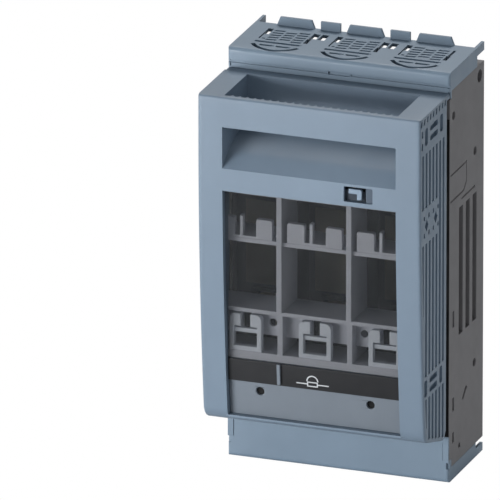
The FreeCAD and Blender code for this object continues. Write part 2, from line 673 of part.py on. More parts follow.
def place_forward(item, index, up, depth):
    """Turn a primitive so that it runs back from a depth, on a pole's terminal."""
    item.Placement = FreeCAD.Placement(Vec(), FreeCAD.Rotation(Vec(1, 0, 0), -90))
    item.setExpression("Placement.Base.x", bind(pole(index)))
    item.setExpression("Placement.Base.y", bind("-(%s)" % depth))
    item.setExpression("Placement.Base.z", bind("%s - mount_z" % up))


def washer(index, up):
    """A plain washer under a bolt head."""
    disc = doc.addObject("Part::Cylinder", "washer_disc")
    disc.setExpression("Radius", bind("washer_radius"))
    hole = doc.addObject("Part::Cylinder", "washer_hole")
    hole.setExpression("Radius", bind("bolt_radius + bolt_clearance"))
    for item in (disc, hole):
        item.setExpression("Height", bind("washer_wall"))
        place_forward(item, index, up, "bar_front + washer_wall")
    whole = doc.addObject("Part::Cut", "washer")
    whole.Base, whole.Tool = disc, hole
    return whole


def make_chute(name, index):
    """An insulating frame behind the shroud that holds the splitter plates."""
    body = new_body(name, across=pole(index), level="chute_bottom")
    section = sketch(body, "XY")
    outline(section, [("-chute_half", "fit_gap - shroud_back"), ("chute_wall - chute_half", "fit_gap - shroud_back"),
                      ("chute_wall - chute_half", "-chute_rear - chute_wall"),
                      ("chute_half - chute_wall", "-chute_rear - chute_wall"),
                      ("chute_half - chute_wall", "fit_gap - shroud_back"),
                      ("chute_half", "fit_gap - shroud_back"),
                      ("chute_half", "-chute_rear"), ("-chute_half", "-chute_rear")])
    pad(body, section, "chute_height")
    grooves = sketch(body, "YZ")
    for row in range(int(size("plate_count"))):
        middle = "-chute_rear - chute_wall - 3 - %d * plate_step" % row
        rectangle(grooves, middle + " - plate_wall / 2 - 0.05", middle + " + plate_wall / 2 + 0.05",
                  "1", "chute_height - 1")
    pocket(body, grooves, "2 * chute_half - chute_wall", both=True)
    return body


def splitter(index, row):
    """One steel plate with a notch towards the contact."""
    plate = doc.addObject("Part::Feature", "splitter")
    wide = size("chute_half - chute_wall / 2 - 0.1")
    tall = size("chute_height - 2.1")
    depth = size("chute_rear + chute_wall + 3 + %d * plate_step + plate_wall / 2" % row)
    notch = tall * 0.55
    corners = [(-wide, 0), (-4.5, 0), (0, notch), (4.5, 0), (wide, 0), (wide, tall), (-wide, tall)]
    ring = [Vec(across, -depth, up) for across, up in corners]
    plate.Shape = Part.Face(Part.makePolygon(ring + ring[:1])).extrude(Vec(0, size("plate_wall"), 0))
    plate.setExpression("Placement.Base.x", bind(pole(index)))
    plate.setExpression("Placement.Base.z", bind("chute_bottom + 1.05 - mount_z"))
    return plate


# Carrier.

def front_line(inset, low, high):
    """The swept front face of the carrier at a distance behind it, between two heights."""
    radius = "front_radius - (%s)" % inset
    depth = "-(carrier_front - (%s) - arc_sag(%s))"
    return [(depth % (inset, high), high, 0, radius), (depth % (inset, low), low)]


def make_carrier():
    """The hinged handle unit: a swept shell with a window, a finger recess and louvred sides."""
    body = new_body("carrier_frame")
    profile = sketch(body, "YZ")
    outline(profile, [("-carrier_front", "carrier_top", "edge_radius"),
                      ("-carrier_front", "front_straight", 0, "front_radius"),
                      ("-carrier_front + arc_drop", "arc_foot"),
                      ("-foot_depth", "foot_height", "foot_radius"),
                      ("-carrier_rear", "heel_height", "heel_radius"),
                      ("-carrier_rear", "carrier_top - carrier_wall"),
                      ("-lip_back", "carrier_top - carrier_wall"),
                      ("-lip_back", "carrier_top")])
    pad(body, profile, "2 * carrier_half", both=True)
    half, front = size("carrier_half"), size("frame_back")

    def is_front_rim(point):
        return abs(abs(point.x) - half) < 0.01 and point.y < 4 - front

    round_edges(body, "edge_radius", lambda edge: corners_near(edge, is_front_rim))

    inside = sketch(body, "YZ")
    outline(inside, [("-frame_back", "window_bottom"), ("-frame_back", "slope_knee - 4.0"),
                     ("-recess_rear", "slope_end - carrier_wall - 0.3"),
                     ("-carrier_rear + 1", "slope_end - carrier_wall"),
                     ("-carrier_rear + 1", "heel_height + carrier_wall")])
    pocket(body, inside, "2 * side_inside", both=True)
    window = sketch(body, "YZ")
    outline(window, [("-carrier_front - 5", "window_bottom"), ("1 - frame_back", "window_bottom"),
                     ("1 - frame_back", "slope_knee - 3.4"), ("-slope_depth", "slope_knee - 2.5"),
                     ("-strip_back", "strip_top - 1.2"), ("-strip_back", "window_top"),
                     ("-carrier_front - 5", "window_top")])
    pocket(body, window, "2 * opening_half", both=True)
    recess = sketch(body, "YZ")
    outline(recess, [("-carrier_front - 5", "strip_top"), ("-carrier_front", "strip_top"),
                     ("-slope_depth", "slope_knee", "slope_radius"),
                     ("-recess_rear", "slope_end", "3"), ("-recess_rear", "carrier_top + 5"),
                     ("grip_wall - carrier_front", "carrier_top + 5"),
                     ("grip_wall - carrier_front", "grip_bottom", "0.8"),
                     ("-carrier_front - 5", "grip_bottom")])
    pocket(body, recess, "2 * opening_half", both=True)

    for side in (1, -1):
        hollow = sketch(body, "YZ", "%d * side_inside" % side)
        front = front_line("carrier_wall", "arc_foot + 1", "front_straight")
        outline(hollow, [("-strip_back", "carrier_top - carrier_wall")] + front
                + [("carrier_wall - foot_depth", "foot_height + 4", "4"),
                   ("-hinge_depth - 8", "hinge_height"), ("-hinge_depth - 8", "heel_height - 5"),
                   ("-carrier_rear + 1", "heel_height - 5"),
                   ("-carrier_rear + 1", "carrier_top - carrier_wall")])
        pocket(body, hollow, "side_inside - return_half", reverse=side < 0)
        louvre_side(body, side)
        lug = sketch(body, "YZ", "%d * lug_inner" % side)
        outline(lug, [("-hinge_depth - 6", "foot_height - 5"), ("-carrier_rear", "heel_height + 2"),
                      ("-carrier_rear", "hinge_height + 5", "4"), ("-hinge_depth - 6", "hinge_height + 5", "4")])
        pad(body, lug, "lug_wall", reverse=side < 0)
        eye = sketch(body, "YZ", "%d * (lug_inner + lug_wall)" % side)
        circle(eye, "-hinge_depth", "hinge_height", "hinge_radius + hinge_play")
        pocket(body, eye, "lug_wall", reverse=side < 0)

    grip = sketch(body, "XY", "grip_bottom + 1")
    count = int(size("opening_half") * 2 / size("grip_rib_step")) - 1
    for tooth in range(count):
        middle = "%.1f * grip_rib_step" % (tooth - (count - 1) / 2)
        outline(grip, [(middle + " - 1.2", "grip_wall - carrier_front"),
                       (middle + " + 1.2", "grip_wall - carrier_front"),
                       (middle, "grip_wall - carrier_front + grip_rib")])
    pad(body, grip, "carrier_top - grip_bottom - 2")

    lock = sketch(body, "XZ", "carrier_front")
    rectangle(lock, "lock_left", "lock_right", "lock_bottom", "lock_top", "0.6")
    pocket(body, lock, "carrier_wall + 1")
    return body


def louvre_side(body, side):
    """Upright grooves, plates, slots and small holes moulded in one side of the carrier."""
    level = "%d * carrier_half" % side
    grooves = sketch(body, "YZ", level)
    feet = sketch(body, "YZ", level)
    for row in range(7):
        front = "groove_start + %d * groove_step - carrier_front" % row
        rear = front + " + groove_width"
        if row < 5:
            rectangle(grooves, front, rear, "groove_low", "plate_low")
            rectangle(grooves, front, rear, "plate_high", "groove_top")
        else:
            rectangle(grooves, front, rear, "groove_low", "groove_top")
        bottom = "foot_groove_low - foot_groove_lean * (%d * groove_step)" % row
        rectangle(feet, front, rear, bottom, "foot_groove_high")
    pocket(body, grooves, "groove_depth", reverse=side < 0)
    pocket(body, feet, "groove_depth", reverse=side < 0)

    holes = sketch(body, "YZ", level)
    for row in range(7):
        front = "groove_start + %d * groove_step - carrier_front" % row
        rectangle(holes, front, front + " + comb_width", "comb_low", "carrier_top + 1")
    for along in ("oval_front", "oval_rear"):
        middle = along + " - carrier_front"
        rectangle(holes, middle + " - oval_width / 2", middle + " + oval_width / 2", "oval_low", "oval_high")
    for low in ("oval_low", "oval_high - 2 * small_hole"):
        middle = "oval_middle - carrier_front"
        rectangle(holes, middle + " - small_hole / 2", middle + " + small_hole / 2", low, low + " + 2 * small_hole")
    pocket(body, holes, "carrier_wall", reverse=side < 0)
    plate = sketch(body, "YZ", level)
    for way in (1, -1):
        middle = "plate_middle_y + %d * diamond_offset - carrier_front" % way
        outline(plate, [(middle + " - diamond_wide", "plate_middle_z"), (middle, "plate_middle_z - diamond_tall"),
                        (middle + " + diamond_wide", "plate_middle_z"), (middle, "plate_middle_z + diamond_tall")])
        for up in (1, -1):
            across = "plate_middle_y + %d * dot_offset_y - carrier_front" % way
            circle(plate, across, "plate_middle_z + %d * dot_offset_z" % up, "small_hole / 2")
    for row in range(3):
        along = "groove_start + %.1f * groove_step - carrier_front" % (0.5 + 2 * row)
        rectangle(plate, along, along + " + oval_width", "foot_groove_high + 1.6", "foot_groove_high + 5.2")
    pocket(body, plate, "carrier_wall", reverse=side < 0)


def make_sheet_part(name, inset, wall, low, high, half, holes=()):
    """A thin curved part in the carrier's front opening."""
    body = new_body(name)
    profile = sketch(body, "YZ")
    front = front_line(inset, low, high)
    back = front_line("%s + %s" % (inset, wall), low, high)
    outline(profile, front + [back[1][:2] + (0, back[0][3], -1), back[0][:2]])
    pad(body, profile, "2 * (%s)" % half, both=True)
    if holes:
        cuts = sketch(body, "XZ", "carrier_front")
        for across, up in holes:
            circle(cuts, across, up, "test_hole / 2")
        pocket(body, cuts, "frame_depth + 3")
    return body


def make_holder():
    """The light egg-crate frame that guides the fuse links behind the window."""
    body = new_body("fuse_holder")
    crate = sketch(body, "XZ", "holder_rear")
    rectangle(crate, "-holder_half", "holder_half", "holder_bottom", "holder_top", "1")
    pad(body, crate, "holder_front - holder_rear")
    cells = sketch(body, "XZ", "holder_front")
    edges = [("holder_wall - holder_half", "-pole_pitch / 2 - divider_wall / 2"),
             ("-pole_pitch / 2 + divider_wall / 2", "pole_pitch / 2 - divider_wall / 2"),
             ("pole_pitch / 2 + divider_wall / 2", "holder_half - holder_wall")]
    for left, right in edges:
        rectangle(cells, left, right, "band_top", "low_shelf - shelf_wall")
        rectangle(cells, left, right, "low_shelf", "high_shelf - shelf_wall")
        rectangle(cells, left, right, "high_shelf", "holder_top - holder_wall")
    pocket(body, cells, "holder_front - holder_rear")
    dividers = sketch(body, "XZ", "holder_front - 1")
    for across in ("-pole_pitch / 2", "pole_pitch / 2"):
        rectangle(dividers, across + " - divider_wall / 2", across + " + divider_wall / 2",
                  "low_shelf", "holder_top")
    pad(body, dividers, "divider_front - holder_front + 1")
    backing = sketch(body, "XZ", "backing_depth - backing_wall")
    for left, right in edges:
        rectangle(backing, left + " - 0.5", right + " + 0.5", "backing_bottom", "low_shelf - 1")
    pad(body, backing, "backing_wall")
    probes = sketch(body, "XZ", "backing_depth")
    for side in (1, -1):
        circle(probes, "%d * probe_x" % side, "probe_z", "probe_hole / 2")
    pocket(body, probes, "backing_wall")
    return body


def make_lower_gripper(name, index):
    """A hooked fork that holds the lug of a fuse link."""
    body = new_body(name, across=pole(index), level="band_top")
    fork = sketch(body, "XZ", "holder_front - gripper_wall")
    inner, slot = "gripper_half - gripper_arm", "gripper_slot / 2"
    right = [("gripper_half", "0"), ("gripper_half", "gripper_height", "gripper_round"),
             (slot, "gripper_height"), (slot, "gripper_height - gripper_head"),
             (inner, "gripper_height - gripper_head"), (inner, "gripper_arm")]
    left = [("-(" + point[0] + ")",) + point[1:] for point in reversed(right)]
    outline(fork, right + left)
    pad(body, fork, "gripper_wall")
    bar = sketch(body, "XZ", "holder_front - gripper_wall")
    rectangle(bar, "-(%s) - 0.5" % inner, inner + " + 0.5", "gripper_height * 0.48",
              "gripper_height * 0.48 + gripper_bar")
    pad(body, bar, "gripper_wall * 0.6")
    return body


def make_upper_gripper(name, index):
    """Three posts on one foot that catch the upper lug of a fuse link."""
    body = new_body(name, across=pole(index), level="high_shelf")
    foot = sketch(body, "XZ", "holder_front - clip_wall - 5")
    rectangle(foot, "-13.4", "12.9", "0", "clip_foot")
    pad(body, foot, "clip_wall + 5")
    posts = sketch(body, "XZ", "holder_front - clip_wall")
    rectangle(posts, "-13.4", "-5", "0", "clip_height", "0.8")
    rectangle(posts, "-2.6", "-1.1", "0", "clip_height + 1", "0.3")
    rectangle(posts, "5.1", "12.9", "0", "clip_height", "0.8")
    pad(body, posts, "clip_wall")
    return body


def make_slider():
    """The lock slide: an angled lever on a plate behind the strip."""
    body = new_body("lock_slider")
    plate = sketch(body, "XZ", "strip_back - lock_play - slider_wall")
    rectangle(plate, "lever_left - 4", "lever_right + 1", "window_top + 0.6", "lock_top - 2.2", "0.5")
    pad(body, plate, "slider_wall")
    lever = sketch(body, "XZ", "strip_back - lock_play - 0.4")
    outline(lever, [("lever_right - lever_arm", "lock_bottom + 1"), ("lever_right", "lock_bottom + 1", "0.5"),
                    ("lever_right", "lock_top - 1.3", "0.8"), ("lever_left", "lock_top - 1.3"),
                    ("lever_left", "lock_top - 1.3 - lever_arm"),
                    ("lever_right - lever_arm", "lock_top - 1.3 - lever_arm")])
    pad(body, lever, "carrier_wall - 0.2")
    return body


def make_stop():
    """The fixed cheek that the lock lever closes on."""
    body = new_body("lock_stop")
    face = sketch(body, "XZ", "strip_back")
    rectangle(face, "stop_left", "lock_right", "lock_bottom", "lock_top", "0.6")
    pad(body, face, "carrier_wall - 0.7")
    return body


def build():
    """Every sub-part of the device, in the order that it goes together."""
    nodes = [make_housing(), make_shroud()]
    nodes.append(make_cover("top_terminal_cover", "top_strip", "top_leg", "top_leg_width", True,
                            "device_height"))
    nodes.append(make_cover("bottom_terminal_cover", "bottom_strip", "bottom_leg", "bottom_leg_width",
                            False, "0"))
    nodes.append(make_hinge_pin("hinge_pin_left", -1))
    nodes.append(make_hinge_pin("hinge_pin_right", 1))
    ends = {"upper": ("upper_jaw", "upper_jaw + terminal_reach", False),
            "lower": ("lower_jaw", "lower_jaw - terminal_reach", True)}
    for end, (jaw, terminal, flip) in ends.items():
        for number, index in enumerate(POLES, start=1):
            nodes.append(make_contact("%s_contact_%d" % (end, number), index, jaw, flip))
        nodes.append(group(end + "_contact_springs", [contact_spring(index, jaw) for index in POLES]))
        nodes.append(group(end + "_terminal_bolts", [bolt(index, terminal) for index in POLES]))
        nodes.append(group(end + "_terminal_washers", [washer(index, terminal) for index in POLES]))
    for number, index in enumerate(POLES, start=1):
        nodes.append(make_chute("arc_chute_%d" % number, index))
        plates = [splitter(index, row) for row in range(int(size("plate_count")))]
        nodes.append(group("splitter_plates_%d" % number, plates))
    nodes.append(make_carrier())
    nodes.append(make_sheet_part("window_pane", "pane_recess", "pane_wall", "pane_bottom",
                                 "window_top - pane_play", "opening_half - pane_play"))
    nodes.append(make_sheet_part("lower_panel", "pane_recess + label_wall + label_play", "panel_wall",
                                 "window_bottom + pane_play", "pane_bottom - pane_play",
                                 "opening_half - pane_play",
                                 [("test_hole_x", "test_hole_z"), ("-test_hole_x", "test_hole_z")]))
    nodes.append(make_sheet_part("label_strip", "pane_recess", "label_wall", "label_bottom",
                                 "pane_bottom - pane_play", "opening_half - pane_play"))
    nodes.append(make_holder())
    for number, index in enumerate(POLES, start=1):
        nodes.append(make_lower_gripper("lower_gripper_%d" % number, index))
        nodes.append(make_upper_gripper("upper_gripper_%d" % number, index))
    nodes.append(make_slider())
    nodes.append(make_stop())
    return nodes


def check(nodes):
    """Stop on any failed object, empty cut or unsound solid."""
    doc.recompute()
    for item in doc.Objects:
        if "Invalid" in item.State or "Error" in item.State:
            raise RuntimeError("%s failed" % item.Name)
        if item.TypeId == "PartDesign::Pocket" and item.Shape.Volume > item.BaseFeature.Shape.Volume - 1e-3:
            raise RuntimeError("%s cuts nothing" % item.Name)
    for node in nodes:
        if node.Shape.isNull() or not node.Shape.isValid():
            raise RuntimeError("%s has no sound shape" % node.Label)


def write(nodes):
    """One STEP file for each sub-part."""
    os.makedirs(OUT, exist_ok=True)
    for node in nodes:
        node.Shape.exportStep(os.path.join(OUT, node.Label + ".step"))
        box = node.Shape.BoundBox
        print("%-24s solids %2d  volume %9.1f  z %7.2f %7.2f" % (
            node.Label, len(node.Shape.Solids), node.Shape.Volume, box.ZMin, box.ZMax))


parts = build()
check(parts)
write(parts)
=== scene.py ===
import json
import math

import bmesh
import bpy
from mathutils import Matrix, Vector


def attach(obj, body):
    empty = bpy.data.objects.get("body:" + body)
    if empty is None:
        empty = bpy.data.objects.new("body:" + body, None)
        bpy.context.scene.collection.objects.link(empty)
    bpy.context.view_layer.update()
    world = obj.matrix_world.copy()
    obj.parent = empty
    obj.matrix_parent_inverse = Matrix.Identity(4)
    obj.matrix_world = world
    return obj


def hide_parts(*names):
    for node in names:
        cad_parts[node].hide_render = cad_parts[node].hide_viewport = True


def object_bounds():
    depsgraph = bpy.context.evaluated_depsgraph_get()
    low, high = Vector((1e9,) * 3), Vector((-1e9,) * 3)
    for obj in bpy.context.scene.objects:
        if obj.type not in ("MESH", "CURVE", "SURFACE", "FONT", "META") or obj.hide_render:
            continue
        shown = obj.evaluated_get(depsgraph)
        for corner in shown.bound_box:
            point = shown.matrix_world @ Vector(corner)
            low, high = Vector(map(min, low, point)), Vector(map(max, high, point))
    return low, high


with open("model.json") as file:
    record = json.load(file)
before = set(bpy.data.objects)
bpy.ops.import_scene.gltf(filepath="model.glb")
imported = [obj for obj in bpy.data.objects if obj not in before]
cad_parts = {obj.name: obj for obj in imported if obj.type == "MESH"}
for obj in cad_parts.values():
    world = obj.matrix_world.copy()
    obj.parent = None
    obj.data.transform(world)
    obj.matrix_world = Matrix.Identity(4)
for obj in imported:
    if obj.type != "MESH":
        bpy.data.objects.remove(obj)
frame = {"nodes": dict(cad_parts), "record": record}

# Looks of a three-pole fuse switch disconnector. Lengths in the tables are millimetres in the
# device's own frame, heights counted from its bottom, and at() turns them into the frame's metres.

CAD_BOX = [list(corner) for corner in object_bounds()]
MM = 0.001
MOUNT_HEIGHT = 98.25
BODY_OF = {node: body for body, nodes in frame["record"]["behaviour"]["bodies"].items()
           for node in nodes}
scene = bpy.context.scene


def at(across, depth, up):
    """A point of the device in the frame's metres."""
    return Vector((across, depth, up - MOUNT_HEIGHT)) * MM


# Camera: a parallel view in effect, 20 degrees round to the right and 20 degrees down.

VIEW_RIGHT = Vector((0.93969, 0.34202, 0.0))
VIEW_UP = Vector((-0.11698, 0.32139, 0.93969))
VIEW_BACK = Vector((0.32139, -0.88302, 0.34202))
VIEW_ACROSS = -0.05567
VIEW_RISE = -0.007875
VIEW_WIDTH = 0.22635
LENS = 1500.0
SENSOR = 36.0


def add_camera():
    """A very long lens at the photograph's angle."""
    data = bpy.data.cameras.new("camera")
    data.type = "PERSP"
    data.lens = LENS
    data.sensor_width = SENSOR
    data.sensor_fit = "HORIZONTAL"
    distance = VIEW_WIDTH * LENS / SENSOR
    data.clip_start = 0.01
    data.clip_end = 2.0 * distance
    camera = bpy.data.objects.new("camera", data)
    scene.collection.objects.link(camera)
    place = VIEW_RIGHT * VIEW_ACROSS + VIEW_UP * VIEW_RISE + VIEW_BACK * distance
    turn = Matrix((VIEW_RIGHT, VIEW_UP, VIEW_BACK)).transposed().to_4x4()
    camera.matrix_world = Matrix.Translation(place) @ turn
    scene.camera = camera


# Light, floor and surroundings. Each lamp has a place, a point it is aimed at, a width, a height
# and a power, in metres and watts.

LAMPS = {
    "key_light": ((-0.62, -0.95, 0.02), (0, 0, 0), 0.6, 0.45, 15.0),
    "top_light": ((-0.1, 0.70, 1.0), (0, 0, 0), 0.7, 0.5, 9.5),
    "fill_light": ((1.1, -0.5, 0.0), (0, 0, -0.05), 0.7, 0.7, 2.1),
}
WORLD_COLOUR = (0.96, 0.98, 1.0, 1.0)
WORLD_STRENGTH = 0.24
FLOOR_COLOUR = (0.82, 0.83, 0.84, 1.0)
FLOOR_REACH = 3.0
FLOOR_DROP = 0.0002


def add_area(name, place, aim, wide, tall, power):
    """A soft box aimed at a point."""
    data = bpy.data.lights.new(name, "AREA")
    data.shape = "RECTANGLE"
    data.size = wide
    data.size_y = tall
    data.energy = power
    lamp = bpy.data.objects.new(name, data)
    scene.collection.objects.link(lamp)
    place = Vector(place)
    aim = (Vector(aim) - place).to_track_quat("-Z", "Y")
    lamp.matrix_world = Matrix.Translation(place) @ aim.to_matrix().to_4x4()


def add_lights():
    """A large key from the front left, a soft top and a weak fill from the right."""
    for name, setting in LAMPS.items():
        add_area(name, *setting)


def seen_white(tree, shader):
    """Mix a shader with plain white for what the camera sees directly."""
    path = tree.nodes.new("ShaderNodeLightPath")
    white = tree.nodes.new("ShaderNodeEmission")
    white.inputs["Color"].default_value = (1.0, 1.0, 1.0, 1.0)
    white.inputs["Strength"].default_value = 1.0
    mix = tree.nodes.new("ShaderNodeMixShader")
    tree.links.new(path.outputs["Is Camera Ray"], mix.inputs["Fac"])
    tree.links.new(shader, mix.inputs[1])
    tree.links.new(white.outputs["Emission"], mix.inputs[2])
    return mix.outputs["Shader"]


def add_surroundings():
    """A pale floor under the device and an even pale world."""
    world = bpy.data.worlds.new("studio")
    world.use_nodes = True
    tree = world.node_tree
    tree.nodes.clear()
    air = tree.nodes.new("ShaderNodeBackground")
    air.inputs["Color"].default_value = WORLD_COLOUR
    air.inputs["Strength"].default_value = WORLD_STRENGTH
    output = tree.nodes.new("ShaderNodeOutputWorld")
    tree.links.new(seen_white(tree, air.outputs["Background"]), output.inputs["Surface"])
    scene.world = world

    low = CAD_BOX[0][2] - FLOOR_DROP
    corners = [(x * FLOOR_REACH, y * FLOOR_REACH, low) for x, y in ((-1, -1), (1, -1), (1, 1), (-1, 1))]
    mesh = bpy.data.meshes.new("floor")
    mesh.from_pydata(corners, [], [(0, 1, 2, 3)])
    floor = bpy.data.objects.new("floor", mesh)
    scene.collection.objects.link(floor)
    material = bpy.data.materials.new("floor_paper")
    material.use_nodes = True
    tree = material.node_tree
    tree.nodes.clear()
    paper = tree.nodes.new("ShaderNodeBsdfDiffuse")
    paper.inputs["Color"].default_value = FLOOR_COLOUR
    output = tree.nodes.new("ShaderNodeOutputMaterial")
    tree.links.new(seen_white(tree, paper.outputs["BSDF"]), output.inputs["Surface"])
    mesh.materials.append(material)


# Materials.

EDGE_BREAK = 0.25


def linear(red, green, blue):
    """A display colour of 0 to 255 as linear light."""
    values = []
    for level in (red, green, blue):
        level = level / 255.0
        values.append(level / 12.92 if level <= 0.04045 else ((level + 0.055) / 1.055) ** 2.4)
    return tuple(values) + (1.0,)


def scaled(colour, factor):
    """A linear colour made lighter or darker."""
    return tuple(min(1.0, level * factor) for level in colour[:3]) + (1.0,)


def noise(tree, place, grain, detail=2.0, stretch=(1.0, 1.0, 1.0)):
    """A noise pattern with grains of a size in millimetres."""
    source = place
    if stretch != (1.0, 1.0, 1.0):
        mapping = tree.nodes.new("ShaderNodeMapping")
        mapping.inputs["Scale"].default_value = stretch
        tree.links.new(place, mapping.inputs["Vector"])
        source = mapping.outputs["Vector"]
    pattern = tree.nodes.new("ShaderNodeTexNoise")
    pattern.inputs["Scale"].default_value = 1.0 / (grain * MM)
    pattern.inputs["Detail"].default_value = detail
    tree.links.new(source, pattern.inputs["Vector"])
    return pattern.outputs["Fac"]


def spread(tree, factor, low, high):
    """A number between two limits, following a pattern."""
    reach = tree.nodes.new("ShaderNodeMapRange")
    reach.inputs["From Min"].default_value = 0.3
    reach.inputs["From Max"].default_value = 0.7
    reach.inputs["To Min"].default_value = low
    reach.inputs["To Max"].default_value = high
    tree.links.new(factor, reach.inputs["Value"])
    return reach.outputs["Result"]


def blend_colours(tree, factor, first, second):
    """One colour turning into another along a pattern. Either may be a colour or an output."""
    mix = tree.nodes.new("ShaderNodeMix")
    mix.data_type = "RGBA"
    tree.links.new(factor, mix.inputs["Factor"])
    for socket, colour in ((mix.inputs["A"], first), (mix.inputs["B"], second)):
        if isinstance(colour, tuple):
            socket.default_value = colour
        else:
            tree.links.new(colour, socket)
    return mix.outputs["Result"]


def start_material(name):
    """A Principled material and the object coordinates that its patterns follow."""
    material = bpy.data.materials.new(name)
    material.use_nodes = True
    tree = material.node_tree
    shader = tree.nodes["Principled BSDF"]
    place = tree.nodes.new("ShaderNodeTexCoord").outputs["Object"]
    return material, tree, shader, place


def add_bump(tree, shader, heights):
    """Stack bumps, each a pattern and its depth in millimetres, on slightly broken edges."""
    corner = tree.nodes.new("ShaderNodeBevel")
    corner.samples = 4
    corner.inputs["Radius"].default_value = EDGE_BREAK * MM
    normal = corner.outputs["Normal"]
    for pattern, depth in heights:
        bump = tree.nodes.new("ShaderNodeBump")
        bump.inputs["Strength"].default_value = 1.0
        bump.inputs["Distance"].default_value = depth * MM
        tree.links.new(pattern, bump.inputs["Height"])
        tree.links.new(normal, bump.inputs["Normal"])
        normal = bump.outputs["Normal"]
    tree.links.new(normal, shader.inputs["Normal"])


def moulded(name, colour, rough=(0.42, 0.52), grain=0.35, depth=0.006, mottle=0.04, gloss=0.45):
    """Moulded plastic: a fine spark texture, faint flow marks and slightly uneven sheen."""
    material, tree, shader, place = start_material(name)
    fine = noise(tree, place, grain, detail=3.0)
    flow = noise(tree, place, grain=26.0, detail=4.0, stretch=(1.0, 1.0, 0.35))
    cloud = noise(tree, place, grain=7.0, detail=5.0)
    dark, light = scaled(colour, 1.0 - mottle), scaled(colour, 1.0 + mottle)
    tint = blend_colours(tree, spread(tree, flow, 0.0, 1.0), dark, light)
    dust = blend_colours(tree, spread(tree, cloud, 0.0, 0.12), tint, scaled(colour, 1.25))
    tree.links.new(dust, shader.inputs["Base Color"])
    tree.links.new(spread(tree, cloud, *rough), shader.inputs["Roughness"])
    shader.inputs["Specular IOR Level"].default_value = gloss
    add_bump(tree, shader, [(fine, depth), (cloud, depth * 2.0)])
    return material


def plated(name, colour, rough, brush=(1.0, 1.0, 0.04)):
    """Metal with fine drawn lines and slightly clouded plating."""
    material, tree, shader, place = start_material(name)
    lines = noise(tree, place, grain=0.12, detail=3.0, stretch=brush)
    cloud = noise(tree, place, grain=5.0, detail=4.0)
    dark, light = scaled(colour, 0.85), scaled(colour, 1.08)
    tint = blend_colours(tree, spread(tree, cloud, 0.0, 1.0), dark, light)
    tree.links.new(tint, shader.inputs["Base Color"])
    tree.links.new(spread(tree, lines, rough - 0.08, rough + 0.1), shader.inputs["Roughness"])
    shader.inputs["Metallic"].default_value = 1.0
    add_bump(tree, shader, [(lines, 0.004)])
    return material


def smoked(name):
    """Clear moulding with a grey tint, a hard gloss and a faint haze."""
    material, tree, shader, place = start_material(name)
    haze = noise(tree, place, grain=9.0, detail=4.0)
    tint = blend_colours(tree, spread(tree, haze, 0.0, 1.0), linear(44, 47, 50), linear(58, 61, 64))
    tree.links.new(tint, shader.inputs["Base Color"])
    tree.links.new(spread(tree, haze, 0.05, 0.09), shader.inputs["Roughness"])
    shader.inputs["Alpha"].default_value = 0.26
    add_bump(tree, shader, [(haze, 0.01)])
    return material


def board(name, colour):
    """Pressed insulating board with fibres."""
    material, tree, shader, place = start_material(name)
    fibres = noise(tree, place, grain=0.5, detail=5.0, stretch=(0.25, 1.0, 1.0))
    dark, light = scaled(colour, 0.82), scaled(colour, 1.08)
    tint = blend_colours(tree, spread(tree, fibres, 0.0, 1.0), dark, light)
    tree.links.new(tint, shader.inputs["Base Color"])
    tree.links.new(spread(tree, fibres, 0.65, 0.8), shader.inputs["Roughness"])
    add_bump(tree, shader, [(fibres, 0.02)])
    return material


def make_materials():
    """One material for each slot of the record, and the ones that only extra pieces use."""
    return {
        "housing_plastic": moulded("housing_plastic", linear(112, 111, 113), (0.5, 0.6), grain=0.4,
                                   depth=0.008, mottle=0.05, gloss=0.35),
        "shroud_plastic": moulded("shroud_plastic", linear(56, 56, 58), (0.6, 0.7), depth=0.003),
        "cover_plastic": moulded("cover_plastic", linear(116, 134, 151)),
        "carrier_plastic": moulded("carrier_plastic", linear(112, 129, 146)),
        "panel_plastic": moulded("panel_plastic", linear(110, 119, 129)),
        "holder_plastic": moulded("holder_plastic", linear(184, 187, 196)),
        "slider_plastic": moulded("slider_plastic", linear(124, 142, 161), (0.4, 0.5)),
        "label_black": moulded("label_black", linear(30, 31, 34), (0.32, 0.4), grain=0.2, depth=0.003,
                               mottle=0.06),
        "window_clear": smoked("window_clear"),
        "contact_copper": plated("contact_copper", linear(205, 188, 165), 0.32),
        "zinc_steel": plated("zinc_steel", linear(196, 199, 202), 0.34, (1.0, 1.0, 1.0)),
        "spring_steel": plated("spring_steel", linear(128, 130, 136), 0.3),
        "splitter_steel": plated("splitter_steel", linear(168, 168, 170), 0.4, (0.04, 1.0, 1.0)),
        "chute_board": board("chute_board", linear(196, 182, 146)),
        # painted shade for the plate deep in the lock recess
        "recess_painted_shade": moulded("recess_painted_shade", linear(40, 50, 62), (0.6, 0.7)),
        # brown of the bays, darkened as painted shade
        "bay_brown_and_shade": moulded("bay_brown_and_shade", linear(104, 97, 82), (0.6, 0.7)),
        # near-black painted shade for gaps, vents and holes
        "gap_painted_shade": moulded("gap_painted_shade", linear(9, 10, 12), (0.8, 0.9)),
        "gripper_plastic": moulded("gripper_plastic", linear(206, 212, 221)),
        # a darker blue for the lock stop: painted shade of the lock recess
        "cheek_painted_shade": moulded("cheek_painted_shade", linear(66, 80, 96), (0.5, 0.6)),
        "print_white": moulded("print_white", linear(196, 200, 204), (0.45, 0.55), grain=0.3, depth=0.002),
    }


# Carving: finer moulded detail, cut into a copy of a solid.

